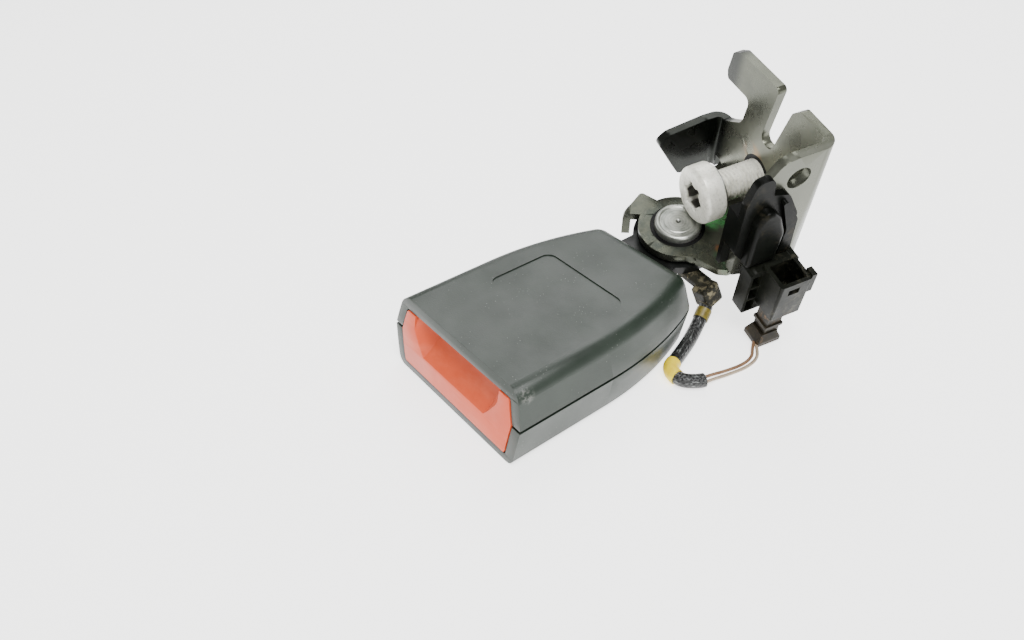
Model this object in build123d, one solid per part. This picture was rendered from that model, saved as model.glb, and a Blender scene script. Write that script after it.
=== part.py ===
"""Seat belt buckle: a press-button head on a steel stalk, a swivelling anchor bracket with a
captive bolt, and a short switch lead that ends in a plug beside the bracket.

Millimetres. X runs across the head, Y from the button towards the bracket, Z up from the
surface that the head lies on. Pieces of the stalk and the bracket are drawn in frames of
their own, which sit on the swivel rivet and lean with it.
"""
from build123d import *
import math
import os

# ---------------------------------------------------------------- driving dimensions
# Head
half_width = 28.6          # outside half width at the parting plane
parting_height = 13.0
head_height = 23.6
head_length = 70.5         # from the button's top edge to the rear wall
side_straight = 29.0       # length of the straight part of the sides
side_radius = 100.0        # curve that brings the sides in towards the rear
rear_corner = 7.0
wall = 2.4
rim_wall = 3.2             # wall round the button opening
rim_depth = 6.0
upper_draft = 16.0         # degrees
lower_draft = 9.0
top_round = 4.5
bottom_round = 3.0
parting_gap = 0.8
face_top = -0.6            # Y of the front rim at the top, the middle and the bottom
face_middle = -2.7
face_bottom = -4.0
label_width = 32.0
label_length = 23.0
label_depth = 0.35

# Button
button_gap = 0.4
button_travel = 6.0
button_depth = 15.0
button_wall = 2.0
scoop_radius = 15.0
scoop_half = 14.0          # half length of the scoop's floor
scoop_end = 5.0            # length of each sloping end

# Tongue path and mechanism
tongue_half = 13.4         # half width of the tongue slot
tongue_level = 16.0        # top of the frame's base plate
tongue_height = 4.4
frame_thickness = 3.0
frame_half = 17.0
frame_front = 16.0
frame_rear = 65.0
frame_depth = 10.5         # how far the side walls reach below the tongue path
latch_half = 8.0
latch_pivot_y = 44.0
latch_pivot_z = 8.4
latch_nose_y = 18.6
latch_drop = 8.0           # degrees
ejector_travel = 9.0
spring_wire = 0.8
running_gap = 0.05         # radial clearance of a pin that turns in its hole
slide_gap = 0.4            # clearance between pieces that slide past each other

# Stalk and swivel
stalk_thickness = 3.0
stalk_half = 12.0
neck_half = 9.0
stalk_eye = 13.4
rivet_y = head_length + 12.3
rivet_height = 27.2
stalk_pitch = 13.0         # degrees, the rear end up
stalk_twist = 12.0         # degrees, the right side down
swivel_rest = 18.0         # degrees, the bracket turned to the right
rivet_shank = 5.0
rivet_head = 7.2
rivet_head_thickness = 2.2
rivet_crown = 0.3          # how far the head stands above its seat circle
washer_thickness = 1.2

# Anchor bracket, in its own frame: x across, y along the bolt, z up the rivet's axis
plate = 2.7
bracket_half = 24.6
eye_radius = 12.1
eye_hole = 8.5
eye_step = 7.4             # hole below the bush's flange
upright_y = 25.0           # front face of the upright
upright_top = 42.0
bend_outer = 4.5
bend_inner = 1.5
gusset_front = 3.4
gusset_top = 42.3
wing_top = 14.8
finger_left = -23.3
finger_width = 8.4
finger_top = 40.8
finger_bottom = 29.8
slot_left = -2.2
slot_width = 5.6           # at the bottom
slot_lean = 2.6            # how far the slot leans to the right over its height
slot_bottom = 22.0
gusset_hole = 3.5          # radius
gusset_hole_y = 17.1
gusset_hole_z = 34.5
lug_length = 9.4           # below the top of the eye plate

# Anchor bolt
bolt_z = 9.6
bolt_radius = 4.95
bolt_head = 9.0
bolt_head_length = 6.4
bolt_length = 22.6
bolt_draw = 14.4           # free length between the seated washer and the upright
bolt_washer_thickness = 0.8
pilot_radius = 4.0
pilot_length = 3.4
anchor_hole = 6.4          # radius

# Connector
holder_thickness = 2.3
socket_wall = 1.2
flange_thickness = 5.0

# Switch lead
sleeve_radius = 2.1
wire_radius = 0.5
tape_thickness = 0.25

parts = {}
stalk_frame = Location((0, rivet_y, rivet_height), (stalk_pitch, stalk_twist, 0))
bracket_frame = Location((0, rivet_y, rivet_height), (stalk_pitch, stalk_twist, -swivel_rest))


# ---------------------------------------------------------------- helpers
def outline(points, radii):
    """Closed face through the points, each corner rounded by its own radius."""
    return make_face(FilletPolyline(*points, radius=radii, close=True))


def block(x0, x1, y0, y1, z0, z1):
    """Box between two corners."""
    return Pos((x0 + x1) / 2, (y0 + y1) / 2, (z0 + z1) / 2) * Box(x1 - x0, y1 - y0, z1 - z0)


def tube(outer, inner, length):
    """Hollow cylinder from the XY plane upwards."""
    ring = Circle(outer) - Circle(inner)
    return extrude(ring, length)


def side_profile(points, radii, x0, x1):
    """Profile given as (y, z) points, extruded from x0 to x1."""
    face = outline([(0, y, z) for y, z in points], radii)
    return Pos(x0, 0, 0) * extrude(face, x1 - x0, dir=(1, 0, 0))


def front_profile(points, radii, y0, y1):
    """Profile given as (x, z) points, extruded from y0 to y1."""
    face = outline([(x, 0, z) for x, z in points], radii)
    return Pos(0, y0, 0) * extrude(face, y1 - y0, dir=(0, 1, 0))


def along_y(solid, x, y, z):
    """Turns a solid drawn up the Z axis so that it lies along Y from (x, y, z)."""
    return Pos(x, y, z) * Rot(-90, 0, 0) * solid


# ---------------------------------------------------------------- head covers
def head_plan(inset):
    """Plan of the head, inset from its outside: straight sides, then arcs that close in."""
    reach = 14.0
    half = half_width - inset
    rear = head_length - inset
    big = side_radius - inset
    small = max(rear_corner - inset, 0.6)
    hub_x = half_width - side_radius
    corner_y = rear - small
    corner_x = hub_x + math.sqrt((big - small) ** 2 - (corner_y - side_straight) ** 2)
    turn = math.atan2(corner_y - side_straight, corner_x - hub_x)
    middle = (hub_x + big * math.cos(turn / 2), side_straight + big * math.sin(turn / 2))
    join = (hub_x + big * math.cos(turn), side_straight + big * math.sin(turn))
    diagonal = (turn + math.pi / 2) / 2
    bow = (corner_x + small * math.cos(diagonal), corner_y + small * math.sin(diagonal))
    edges = [Line((-half, -reach), (half, -reach)), Line((corner_x, rear), (-corner_x, rear))]
    for side in (-1, 1):
        near, a, b, c = [(side * x, y) for x, y in (middle, join, bow, (corner_x, rear))]
        edges.append(Line((side * half, -reach), (side * half, side_straight)))
        edges.append(ThreePointArc((side * half, side_straight), near, a))
        edges.append(ThreePointArc(a, b, c))
    return make_face(Curve() + edges)


def upper_form(inset, top_inset, rounded=True):
    """Solid above the parting plane, narrowing upwards, with rounded top edges."""
    height = head_height - top_inset - parting_height
    narrow = height * math.tan(math.radians(upper_draft))
    low = Pos(0, 0, parting_height) * head_plan(inset)
    high = Pos(0, 0, parting_height + height) * head_plan(inset + narrow)
    form = loft([low.face(), high.face()], ruled=True)
    if not rounded:
        return form
    return fillet(form.faces().sort_by(Axis.Z)[-1].edges(), max(top_round - top_inset, 1.0))


def lower_form(inset, bottom_inset, rounded=True):
    """Solid below the parting plane, narrowing downwards, with rounded bottom edges."""
    depth = parting_height - bottom_inset
    narrow = depth * math.tan(math.radians(lower_draft))
    high = Pos(0, 0, parting_height) * head_plan(inset)
    low = Pos(0, 0, parting_height - depth) * head_plan(inset + narrow)
    form = loft([low.face(), high.face()], ruled=True)
    if not rounded:
        return form
    return fillet(form.faces().sort_by(Axis.Z)[0].edges(), max(bottom_round - bottom_inset, 0.8))


def front_space(offset):
    """Everything in front of the bowed front rim, moved back by offset."""
    bow = ThreePointArc(
        (0, face_top + offset, head_height + 1),
        (0, face_middle + offset, parting_height),
        (0, face_bottom + offset, -1),
    )
    reach = -30
    rest = Polyline(
        (0, face_bottom + offset, -1),
        (0, reach, -1),
        (0, reach, head_height + 1),
        (0, face_top + offset, head_height + 1),
    )
    return extrude(make_face(bow + rest), 2 * half_width, dir=(1, 0, 0), both=True)


def stalk_opening():
    """Opening in the rear wall for the stalk and the lead."""
    return block(-stalk_half - 1.0, stalk_half + 5.0, head_length - 12, head_length + 5,
                 tongue_level - 7.0, tongue_level + stalk_thickness + 0.8)


front_cut = front_space(0)
rim_zone = block(-half_width, half_width, -20, rim_depth, -1, head_height + 1)
deep_cavity = upper_form(wall, wall) + lower_form(wall, wall - 0.4)
deep_cavity -= rim_zone
rim_cavity = upper_form(rim_wall, rim_wall) + lower_form(rim_wall, 2.2)
rim_cavity = rim_cavity & block(-half_width, half_width, -20, rim_depth + 1, -1, head_height + 1)
cavity = deep_cavity + rim_cavity

label_y = side_straight + 4.0
label = Pos(0, label_y, head_height - label_depth) * extrude(
    RectangleRounded(label_width, label_length, 3.0), 2.0)
upper_slab = block(-40, 40, -20, 90, parting_height + parting_gap / 2, head_height + 1)
lower_slab = block(-40, 40, -20, 90, -1, parting_height - parting_gap / 2)

upper_cover = (upper_form(0, 0) & upper_slab) - cavity - front_cut - stalk_opening() - label
lower_cover = (lower_form(0, 0) & lower_slab) - cavity - front_cut - stalk_opening()

# The lower cover's lip closes the parting groove from inside.
lip_root = extrude(head_plan(wall - 0.4), 2.0) - extrude(head_plan(wall + 1.5), 2.0)
lip_edge = extrude(head_plan(wall + 0.6), 2.0) - extrude(head_plan(wall + 1.5), 2.0)
lip = Pos(0, 0, parting_height - 2.5) * lip_root + Pos(0, 0, parting_height - 0.6) * lip_edge
lip = (lip & block(-40, 40, button_depth + button_travel + 1, 90, 0, 40)) - stalk_opening()
lower_cover += lip

# Ledges that the frame's side walls stand on.
for side in (-1, 1):
    for y in (frame_front + 8.0, frame_rear - 9.0):
        lower_cover += block(side * frame_half - 1.6, side * frame_half + 1.6, y, y + 4,
                             wall - 0.8, tongue_level - frame_depth)
# Ribs that press the frame down from above, beside the tongue path.
for side in (-1, 1):
    upper_cover += block(side * (tongue_half + 1.9) - 0.8, side * (tongue_half + 1.9) + 0.8,
                         button_depth + button_travel + 0.8, 40, tongue_level, head_height - wall + 0.4)

parts["upper_cover"] = upper_cover
parts["lower_cover"] = lower_cover

# ---------------------------------------------------------------- release button
fit = rim_wall + button_gap
button_form = upper_form(fit, fit) + lower_form(fit, 2.2 + button_gap)
button_form = (button_form & block(-40, 40, -20, button_depth, -1, 40)) - front_space(-0.2)
hollow = upper_form(fit + button_wall, fit + button_wall, False)
hollow += lower_form(fit + button_wall, 2.2 + button_gap + button_wall, False)
hollow = hollow - front_space(button_wall + 0.4)
scoop_y = face_top - scoop_radius + 5.4
scoop_z = head_height - 1.2
floor_roll = Rot(0, 90, 0) * Cylinder(scoop_radius, 2 * scoop_half)
ends = [
    Pos(side * (scoop_half + scoop_end / 2), 0, 0)
    * Rot(0, 90 * side, 0)
    * Cone(scoop_radius, scoop_radius - scoop_end, scoop_end)
    for side in (-1, 1)
]
scoop = Pos(0, scoop_y, scoop_z) * (floor_roll + ends[0] + ends[1])
backing = Pos(0, scoop_y, scoop_z) * Rot(0, 90, 0) * Cylinder(scoop_radius + button_wall, 2 * (scoop_half + scoop_end))
hollow -= backing
tongue_window = block(-tongue_half - 0.8, tongue_half + 0.8, -20, 60, tongue_level - 0.1, 40)
button = button_form - hollow - scoop - tongue_window
# Arms that slide outside the frame and carry the springs, with a bridge under the frame.
arm_inner = frame_half + 1.4
arm_outer = arm_inner + 2.8
arm_end = 27.0
for side in (-1, 1):
    arm = side_profile([(-1.5, 7.0), (arm_end, 7.0), (arm_end, 12.0), (-1.5, 12.0)], [0.5] * 4,
                       side * arm_inner if side > 0 else -arm_outer,
                       arm_outer if side > 0 else -arm_inner)
    button += arm
# Ramp under the frame that draws the latch down.
button += block(-5, 5, face_middle + 3, frame_front + 9.0, 3.4, 5.0)
parts["release_button"] = button

# ---------------------------------------------------------------- frame, latch, ejector
base_bottom = tongue_level - frame_thickness
wall_bottom = tongue_level - frame_depth
channel = [
    (-frame_half, wall_bottom), (-frame_half, tongue_level), (frame_half, tongue_level),
    (frame_half, wall_bottom), (frame_half - frame_thickness, wall_bottom),
    (frame_half - frame_thickness, base_bottom), (-frame_half + frame_thickness, base_bottom),
    (-frame_half + frame_thickness, wall_bottom),
]
frame = front_profile(channel, [0.4, 2.4, 2.4, 0.4, 0.4, 0.8, 0.8, 0.4], frame_front, frame_rear)
nose_back = latch_nose_y + 1.6
frame -= block(-latch_half - 0.6, latch_half + 0.6, latch_nose_y - 3.0, nose_back + 0.8, 0, 40)
frame -= block(-5.4, 5.4, nose_back, frame_rear - 14, base_bottom - 1, 40)
pivot_hole = Pos(0, latch_pivot_y, latch_pivot_z) * Rot(0, 90, 0) * Cylinder(2.0 + running_gap, 60)
rivet_points = [(-8.0, frame_rear - 6.0), (8.0, frame_rear - 6.0)]
for x, y in rivet_points:
    frame -= Pos(x, y, tongue_level) * Cylinder(2.5, 20)
frame -= pivot_hole
parts["buckle_frame"] = frame

pin_half = frame_half + 0.4
latch_pin = Pos(0, latch_pivot_y, latch_pivot_z) * Rot(0, 90, 0) * Cylinder(2.0, 2 * pin_half)
latch_pin += Pos(-pin_half - 0.4, latch_pivot_y, latch_pivot_z) * Rot(0, 90, 0) * Cylinder(3.0, 0.8)
parts["latch_pin"] = latch_pin

latch_top = base_bottom - 1.0
latch_under = latch_top - 3.2
nose_top = tongue_level + 2.4
latch = side_profile(
    [(latch_pivot_y + 3.4, latch_pivot_z - 3.2), (latch_pivot_y + 3.4, latch_pivot_z + 3.2),
     (latch_pivot_y - 3, latch_top), (nose_back, latch_top), (nose_back, nose_top),
     (latch_nose_y, nose_top), (latch_nose_y - 1.4, latch_top), (latch_nose_y - 1.4, latch_under),
     (latch_pivot_y - 6, latch_under), (latch_pivot_y - 3.4, latch_pivot_z - 3.2)],
    [3.0, 2.6, 2.0, 0.4, 0.5, 0.8, 0.6, 0.8, 2.0, 1.0], -latch_half, latch_half)
latch -= Pos(0, latch_pivot_y, latch_pivot_z) * Rot(0, 90, 0) * Cylinder(2.0 + running_gap, 60)
# Lightening window over the spring, as in a pressed lever.
latch -= block(-3.0, 3.0, latch_pivot_y - 12, latch_pivot_y - 7, 0, 40)
parts["latch_bar"] = latch

ejector_front = latch_nose_y + 4.2
ejector_length = 8.0
ejector = block(-5.0, 5.0, ejector_front, ejector_front + ejector_length, base_bottom + 0.2, tongue_level + 3.4)
ejector = fillet(ejector.edges().filter_by(Axis.X).sort_by(Axis.Z)[-2:], 1.2)
for side in (-1, 1):
    ejector += block(side * 6.6 - 1.8, side * 6.6 + 1.8, ejector_front + 1, ejector_front + ejector_length - 1,
                     tongue_level + 0.05, tongue_level + 1.4)
spring_level = tongue_level + 0.6
ejector -= along_y(Cylinder(2.9, 6.0, align=(Align.CENTER, Align.CENTER, Align.MIN)), 0,
                   ejector_front + ejector_length - 3.0, spring_level)
parts["ejector"] = ejector

ejector_back = ejector_front + ejector_length
spring_start = ejector_back - 3.0
spring_end = frame_rear - 14
ejector_spring = along_y(tube(2.6, 2.6 - spring_wire, spring_end - spring_start), 0, spring_start, spring_level)
parts["ejector_spring"] = ejector_spring

latch_spring_y = latch_pivot_y - 14.5
parts["latch_spring"] = Pos(0, latch_spring_y, wall - 0.4) * tube(2.4, 2.4 - spring_wire, latch_under - wall + 0.4)

# Springs between the button's arms and the ears on the lower cover.
button_springs = None
ear_front = arm_end + 13.0
for side in (-1, 1):
    x = side * (arm_inner + 1.4)
    spring = along_y(tube(2.2, 2.2 - spring_wire, ear_front - arm_end), x, arm_end, 9.5)
    button_springs = spring if button_springs is None else button_springs + spring
    lower_cover += block(x - 1.4, x + 1.4, ear_front, ear_front + 2.0, wall - 0.8, 12.0)
parts["lower_cover"] = lower_cover
parts["button_springs"] = button_springs

# Switch that senses the ejector's place, fixed under the frame behind the latch.
switch_body = block(-9.0, 3.0, latch_pivot_y + 5.0, latch_pivot_y + 11.0, wall_bottom, base_bottom)
switch_body = chamfer(switch_body.edges().filter_by(Axis.Y), 0.6)
switch_body += Pos(-6.0, latch_pivot_y + 5.0, wall_bottom + 4.5) * Rot(90, 0, 0) * Cylinder(0.9, 1.6)
parts["buckle_switch"] = switch_body

# ---------------------------------------------------------------- stalk and swivel
# Heights of the stack along the rivet's axis, below the top of the rivet head.
eye_top = -rivet_head_thickness + 0.1
eye_bottom = eye_top - plate
stalk_top = eye_bottom - washer_thickness
stalk_bottom = stalk_top - stalk_thickness

strap_front = frame_rear - 12.0
strap_end = frame_rear + 1.0
strap_level = tongue_level + stalk_thickness / 2
strap = outline(
    [(-stalk_half, strap_front), (-stalk_half, strap_end), (stalk_half, strap_end), (stalk_half, strap_front)],
    [3.0, 0, 0, 3.0])
strap = Pos(0, 0, tongue_level) * extrude(strap, stalk_thickness)
eye_start = -10.5
eye_disc = Circle(stalk_eye) + Pos(0, eye_start / 2) * Rectangle(2 * neck_half, -eye_start)
eye_disc = eye_disc - Pos(0, eye_start - 10) * Rectangle(60, 20)
eye_plate = stalk_frame * (Pos(0, 0, stalk_bottom) * extrude(eye_disc, stalk_thickness))
crank_low = Plane((0, strap_end, strap_level), x_dir=(1, 0, 0), z_dir=(0, 1, 0)) * Rectangle(
    2 * stalk_half, stalk_thickness)
crank_high = stalk_frame * (
    Plane((0, eye_start, (stalk_top + stalk_bottom) / 2), x_dir=(1, 0, 0), z_dir=(0, 1, 0))
    * Rectangle(2 * neck_half, stalk_thickness))
crank = loft([crank_low.face(), crank_high.face()], ruled=True)
stalk = strap + crank + eye_plate
for x, y in rivet_points:
    stalk -= Pos(x, y, tongue_level) * Cylinder(2.5, 20)
stalk -= stalk_frame * Cylinder(rivet_shank, 60)
parts["stalk_plate"] = stalk

frame_rivets = None
for x, y in rivet_points:
    grip = frame_thickness + stalk_thickness
    rivet = Pos(x, y, base_bottom) * extrude(Circle(2.5), grip)
    rivet += Pos(x, y, base_bottom - 1.4) * extrude(Circle(3.5), 1.4)
    rivet += Pos(x, y, base_bottom + grip) * extrude(Circle(3.6), 0.9)
    frame_rivets = rivet if frame_rivets is None else frame_rivets + rivet
parts["frame_rivets"] = frame_rivets

head_profile = Polyline(
    (0, 0, rivet_crown - 0.5), (0.9, 0, rivet_crown - 0.1), (rivet_head - 2.0, 0, rivet_crown),
    (rivet_head - 0.5, 0, rivet_crown - 0.1), (rivet_head, 0, rivet_crown - 0.5), (rivet_head, 0, eye_top),
    (rivet_shank, 0, eye_top),
    (rivet_shank, 0, stalk_bottom), (rivet_shank + 3.0, 0, stalk_bottom),
    (rivet_shank + 2.4, 0, stalk_bottom - 2.0), (0, 0, stalk_bottom - 2.0), close=True)
parts["swivel_rivet"] = stalk_frame * revolve(make_face(head_profile), Axis.Z)

flange_seat = eye_top - 1.2
bush_bore = rivet_shank + running_gap
bush = Polyline(
    (bush_bore, 0, eye_top), (eye_hole - running_gap, 0, eye_top),
    (eye_hole - running_gap, 0, flange_seat + running_gap),
    (eye_step - running_gap, 0, flange_seat + running_gap),
    (eye_step - running_gap, 0, eye_bottom), (bush_bore, 0, eye_bottom), close=True)
parts["swivel_bush"] = stalk_frame * revolve(make_face(bush), Axis.Z)
parts["swivel_washer"] = stalk_frame * (
    Pos(0, 0, stalk_top) * tube(stalk_eye - 3.4, bush_bore, washer_thickness - running_gap))

# ---------------------------------------------------------------- anchor bracket
upright_back = upright_y + plate
inner_half = bracket_half - plate


bend_side = bracket_half - bend_outer      # where the side bends begin
bend_level = eye_bottom + bend_outer       # where the upright's lower bend ends
# Plan of the stop lug: its inner side, then its outer side.
lug_plan = [(-10.4, -10.7), (-14.2, -8.8), (-12.8, -12.2), (-11.6, -13.0)]


def bracket_floor():
    """Eye plate and upright, folded along X."""
    section = side_profile(
        [(-20, eye_bottom), (-20, eye_top), (upright_y, eye_top), (upright_y, 50), (upright_back, 50),
         (upright_back, eye_bottom)],
        [0, 0, bend_inner, 0, 0, bend_outer], -bracket_half, bracket_half)
    side_x = inner_half - 0.4
    shoulder = [
        (eye_radius - 3.1, -6.0), (eye_radius + 1.3, -1.4), (side_x - 1.6, 2.6), (side_x, 5.2),
        (side_x, upright_back + 1), (-side_x + 3.5, upright_back + 1), (-side_x + 4.5, 18.0),
        (-eye_radius + 2.7, 9.0), (0, 0),
    ]
    face = Circle(eye_radius) + outline(shoulder, [0, 4.0, 2.0, 1.6, 0, 0, 5.0, 3.0, 0])
    tab = [
        (-6.0, 6.0), (-eye_radius + 0.9, -0.2), (-17.3, -3.7), *lug_plan[1::-1], (-9.0, -8.2), (-6.0, -6.0),
    ]
    face += outline(tab, [0, 1.0, 1.2, 0, 0, 0, 0])
    low = Pos(0, 0, eye_bottom - 1) * extrude(face, bend_level - eye_bottom + 1)
    slot_right = slot_left + slot_width
    leg_left = slot_left - finger_width
    points = [
        (-bend_side, bend_level), (-bend_side, wing_top), (-bend_side + 2.5, wing_top + 1.4),
        (leg_left - 1.2, slot_bottom - 1.6), (leg_left, finger_bottom), (finger_left + 0.8, finger_bottom - 0.6),
        (finger_left, finger_bottom + 2.0), (finger_left + 1.1, finger_top - 2.2), (finger_left + 4.6, finger_top),
        (slot_left + slot_lean, upright_top - 0.2), (slot_left, slot_bottom), (slot_right, slot_bottom),
        (slot_right + slot_lean + 1.4, upright_top - 2.6), (slot_right + slot_lean + 4.0, upright_top),
        (bend_side, upright_top + 0.2), (bend_side, bend_level),
    ]
    radii = [0, 0, 5.0, 4.0, 2.0, 1.0, 0.8, 1.4, 2.0, 1.4, 2.4, 2.4, 2.0, 1.6, 0, 0]
    high = front_profile(points, radii, upright_y - 8, upright_back + 1)
    return section & (low + high)


def bracket_sides():
    """Near gusset and far wing, folded forward from the upright."""
    section = outline(
        [(-bracket_half, 0), (-bracket_half, upright_back), (bracket_half, upright_back), (bracket_half, 0),
         (inner_half, 0), (inner_half, upright_y), (-inner_half, upright_y), (-inner_half, 0)],
        [0, bend_outer, bend_outer, 0, 0, bend_inner, bend_inner, 0])
    section = Pos(0, 0, -10) * extrude(section, 60)
    near = side_profile(
        [(upright_back + 1, eye_bottom + 3.6), (upright_back + 1, upright_top + 0.2),
         (upright_y - 1.0, upright_top + 0.2), (gusset_hole_y - 2.0, gusset_top), (gusset_front + 7.6, gusset_top - 0.6),
         (gusset_front + 1.4, gusset_top - 9.6), (gusset_front, gusset_top - 14.0),
         (gusset_front, eye_top + 2.4), (gusset_front + 4.0, eye_bottom + 3.6)],
        [0, 0, 2.0, 6.0, 4.5, 6.0, 6.0, 1.5, 2.0], bend_side, bracket_half)
    far = side_profile(
        [(upright_back + 1, -5.0), (upright_back + 1, wing_top), (upright_y - 5.0, wing_top + 0.4),
         (7.0, wing_top - 1.0), (3.6, wing_top - 3.4), (12.4, -5.0)],
        [0, 0, 6.0, 2.5, 2.0, 2.4], -bracket_half, -bend_side)
    hole = Pos(0, gusset_hole_y, gusset_hole_z) * Rot(0, 90, 0) * Cylinder(gusset_hole, 80)
    return (section & (near + far)) - hole


def bracket_lug():
    """Stop lug, bent down from the end of the tab beside the eye."""
    lug = Pos(0, 0, eye_top - lug_length) * extrude(outline(lug_plan, [0] * 4), lug_length)
    tip = (Vector(*lug_plan[2]) + Vector(*lug_plan[3])) / 2 + Vector(0, 0, eye_top)
    return fillet(lug.edges().sort_by_distance(tip)[0], 2.2)


bracket = bracket_floor() + bracket_sides() + bracket_lug()
bracket -= Cylinder(eye_step, 60)
bracket -= Pos(0, 0, flange_seat) * extrude(Circle(eye_hole), 20)
bracket -= Pos(0, upright_y + plate / 2, bolt_z) * Rot(90, 0, 0) * Cylinder(anchor_hole, 3 * plate)
parts["anchor_bracket"] = bracket_frame * bracket

# ---------------------------------------------------------------- anchor bolt
seat_y = upright_y - bolt_draw
head_y = seat_y - bolt_washer_thickness - bolt_head_length
ring = along_y(tube(anchor_hole, bolt_radius + running_gap, plate), 0, upright_y, bolt_z)
parts["bolt_retainer"] = bracket_frame * ring
washer = along_y(tube(bolt_head - 1.0, bolt_radius + running_gap, bolt_washer_thickness - 0.05), 0,
                 seat_y - bolt_washer_thickness + 0.05, bolt_z)
parts["bolt_washer"] = bracket_frame * washer
bolt_tip = bolt_head_length + bolt_length
pilot_start = bolt_tip - pilot_length
bolt_profile = Polyline(
    (0, 0, 0), (bolt_head - 1.0, 0, 0), (bolt_head, 0, 1.0), (bolt_head, 0, bolt_head_length),
    (bolt_radius, 0, bolt_head_length), (bolt_radius, 0, pilot_start - 0.8), (pilot_radius, 0, pilot_start),
    (pilot_radius, 0, bolt_tip - 0.5), (pilot_radius - 0.5, 0, bolt_tip), (0, 0, bolt_tip), close=True)
bolt = revolve(make_face(bolt_profile), Axis.Z)
star = Circle(3.7)
for k in range(6):
    star += Rot(0, 0, 60 * k) * Pos(3.7, 0) * Circle(1.0)
bolt -= extrude(star, 4.2)
parts["anchor_bolt"] = bracket_frame * along_y(bolt, 0, head_y, bolt_z)

# ---------------------------------------------------------------- connector
holder_in = bracket_half
holder_out = bracket_half + holder_thickness
pad_low = 8.8
holder = side_profile(
    [(0.6, 14.0), (0.6, 33.0), (2.6, 40.4), (7.6, 40.6), (8.4, 34.0), (13.8, 32.0), (18.4, 23.0), (19.4, 2.8),
     (9.0, 2.8)],
    [2.0, 3.0, 2.0, 2.4, 0.6, 3.0, 4.0, 1.5, 3.0], holder_in, holder_out)
# Front web and inner leaf that clip round the gusset's front edge.
web = block(inner_half - 1.8, holder_in + 0.2, 0.6, gusset_front - 0.1, 14.0, 27.0)
leaf = block(inner_half - 1.8, inner_half - 0.1, 0.6, 8.0, 4.0, 27.0)
holder += web + leaf
pad = side_profile([(3.6, pad_low), (3.6, 26.0), (6.6, 32.0), (11.0, 27.0), (13.6, 20.0), (13.0, pad_low)],
                   [1.0, 3.0, 2.4, 5.0, 6.0, 1.0], holder_out, holder_out + 3.0)
pad = fillet(pad.faces().sort_by(Axis.X)[-1].edges(), 1.2)
rib = side_profile([(14.4, pad_low), (15.0, 19.0), (11.2, 30.6), (12.4, 31.4), (17.6, 22.6), (18.6, pad_low)],
                   [0.4, 6.0, 0.4, 0.8, 4.0, 0.8], holder_out, holder_out + 1.6)
holder += pad + rib
parts["connector_holder"] = bracket_frame * holder

# Socket housing: a flange against the holder and a box that is open at its top.
flange_in = holder_out
flange_out = flange_in + flange_thickness
socket_out = flange_out + 8.4
socket_front = 8.5
socket_back = socket_front + 9.9
socket_top = 9.6
socket_low = -3.8
flange_front = socket_front - 3.8
flange_low = -10.6
flange = side_profile(
    [(flange_front, flange_low), (flange_front, socket_top - 1.2), (socket_back, socket_top - 1.2),
     (socket_back, socket_low), (socket_front + 6.0, flange_low)],
    [0.8, 1.6, 0.8, 0.8, 0.8], flange_in, flange_out)
pocket = 4.7
for k in range(3):
    low = flange_low + 0.8 + k * (pocket + 0.9)
    flange -= block(flange_out - 3.4, flange_out + 1, flange_front + 0.9, socket_front - 0.1, low, low + pocket)
box = block(flange_out - 1.0, socket_out, socket_front, socket_back, socket_low - 2.0, socket_top)
box = fillet(box.edges().filter_by(Axis.Z).group_by(Axis.X)[-1], 0.8)
cavity_floor = socket_low + 3.0
socket_cavity = block(flange_out + 0.2, socket_out - socket_wall, socket_front + socket_wall,
                      socket_back - socket_wall, cavity_floor, socket_top + 5)
window = block(socket_out - 3, socket_out + 3, socket_front + 2.9, socket_front + 6.4, socket_top - 4.6,
               socket_top - 2.3)
plug_half_x = 2.6
plug_x = (flange_out + socket_out) / 2 + 0.8
plug_y = socket_front + 2.6
neck_hole = block(plug_x - plug_half_x, plug_x + plug_half_x, plug_y - 2.5, plug_y + 2.5, socket_low - 5,
                  cavity_floor - 1.4)
socket = flange + box - socket_cavity - window - neck_hole
# Latch arm at the box's back edge.
socket += block(socket_out - 3.4, socket_out - 0.4, socket_back, socket_back + 1.6, socket_top - 7.0, socket_top + 0.6)
# Lug that hangs on the holder.
socket += block(flange_in, flange_in + 4.6, socket_back - 0.4, socket_back + 1.8, socket_top - 7.4, socket_top - 1.8)
parts["connector_socket"] = bracket_frame * socket

pins = None
for side in (-1, 1):
    blade = block(plug_x - 0.4, plug_x + 0.4, plug_y + 2.2 + side * 1.6 - 0.9, plug_y + 2.2 + side * 1.6 + 0.9,
                  cavity_floor, cavity_floor + 4.0)
    pins = blade if pins is None else pins + blade
parts["socket_pins"] = bracket_frame * pins

foot_low = -18.3
foot_x = (plug_x - 3.2, plug_x + 3.9)
foot_y = (plug_y - 4.7, plug_y + 3.2)
neck_top = cavity_floor - 1.4
plug = block(plug_x - plug_half_x, plug_x + plug_half_x, plug_y - 2.5, plug_y + 2.5, foot_low + 2.0, neck_top)
collar = block(plug_x - plug_half_x - 0.5, plug_x + plug_half_x + 0.5, plug_y - 3.0, plug_y + 3.0,
               foot_low + 7.2, foot_low + 8.4)
foot_rise = 1.8
foot_mid = Pos((foot_x[0] + foot_x[1]) / 2, (foot_y[0] + foot_y[1]) / 2, foot_low + foot_rise)
foot_base = foot_mid * Rectangle(foot_x[1] - foot_x[0], foot_y[1] - foot_y[0])
foot_top = foot_mid * Pos(0, 0, 3.0) * Rectangle(5.4, 5.2)
foot = loft([foot_base.face(), foot_top.face()], ruled=True)
foot += block(*foot_x, *foot_y, foot_low, foot_low + foot_rise)
plug += collar + foot
parts["connector_plug"] = bracket_frame * plug

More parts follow.
